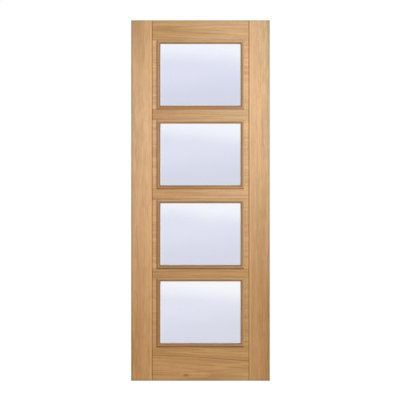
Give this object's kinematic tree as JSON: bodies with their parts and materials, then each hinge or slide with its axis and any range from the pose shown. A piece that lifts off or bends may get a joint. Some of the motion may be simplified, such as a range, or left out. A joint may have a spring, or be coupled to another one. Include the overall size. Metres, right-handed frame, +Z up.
{
  "type": "glazed door",
  "caption": "Oak-faced interior door leaf with a column of equal glazed lights held by proud mitred beads between stiles and rails; hangs on hinges along one long edge.",
  "frame": {"origin": "foot of the hinge edge, at mid thickness", "axes": "+X across the leaf from the hinge edge to the lock edge, +Y from the front face to the back face, +Z up"},
  "size_m": [0.762, 0.047, 1.981],
  "materials": {
    "oak_stile": "satin lacquered oak veneer, grain upright",
    "oak_rail": "satin lacquered oak veneer, grain level",
    "oak_lipping": "satin lacquered solid oak",
    "oak_bead": "satin lacquered solid oak, a shade darker",
    "glass": "toughened glass, faintly blue and slightly hazed"
  },
  "bodies": {
    "root": {"hinge_edge_lipping": "oak_lipping", "lock_edge_lipping": "oak_lipping", "hinge_stile": "oak_stile", "lock_stile": "oak_stile", "top_rail": "oak_rail", "upper_rail": "oak_rail", "middle_rail": "oak_rail", "lower_rail": "oak_rail", "bottom_rail": "oak_rail", "top_light_hinge_side_strip": "oak_rail", "top_light_lock_side_strip": "oak_rail", "top_light_glass": "glass", "top_light_front_level_beads": "oak_bead", "top_light_front_upright_beads": "oak_bead", "top_light_back_level_beads": "oak_bead", "top_light_back_upright_beads": "oak_bead", "upper_light_hinge_side_strip": "oak_rail", "upper_light_lock_side_strip": "oak_rail", "upper_light_glass": "glass", "upper_light_front_level_beads": "oak_bead", "upper_light_front_upright_beads": "oak_bead", "upper_light_back_level_beads": "oak_bead", "upper_light_back_upright_beads": "oak_bead", "lower_light_hinge_side_strip": "oak_rail", "lower_light_lock_side_strip": "oak_rail", "lower_light_glass": "glass", "lower_light_front_level_beads": "oak_bead", "lower_light_front_upright_beads": "oak_bead", "lower_light_back_level_beads": "oak_bead", "lower_light_back_upright_beads": "oak_bead", "bottom_light_hinge_side_strip": "oak_rail", "bottom_light_lock_side_strip": "oak_rail", "bottom_light_glass": "glass", "bottom_light_front_level_beads": "oak_bead", "bottom_light_front_upright_beads": "oak_bead", "bottom_light_back_level_beads": "oak_bead", "bottom_light_back_upright_beads": "oak_bead"}
  },
  "joints": []
}
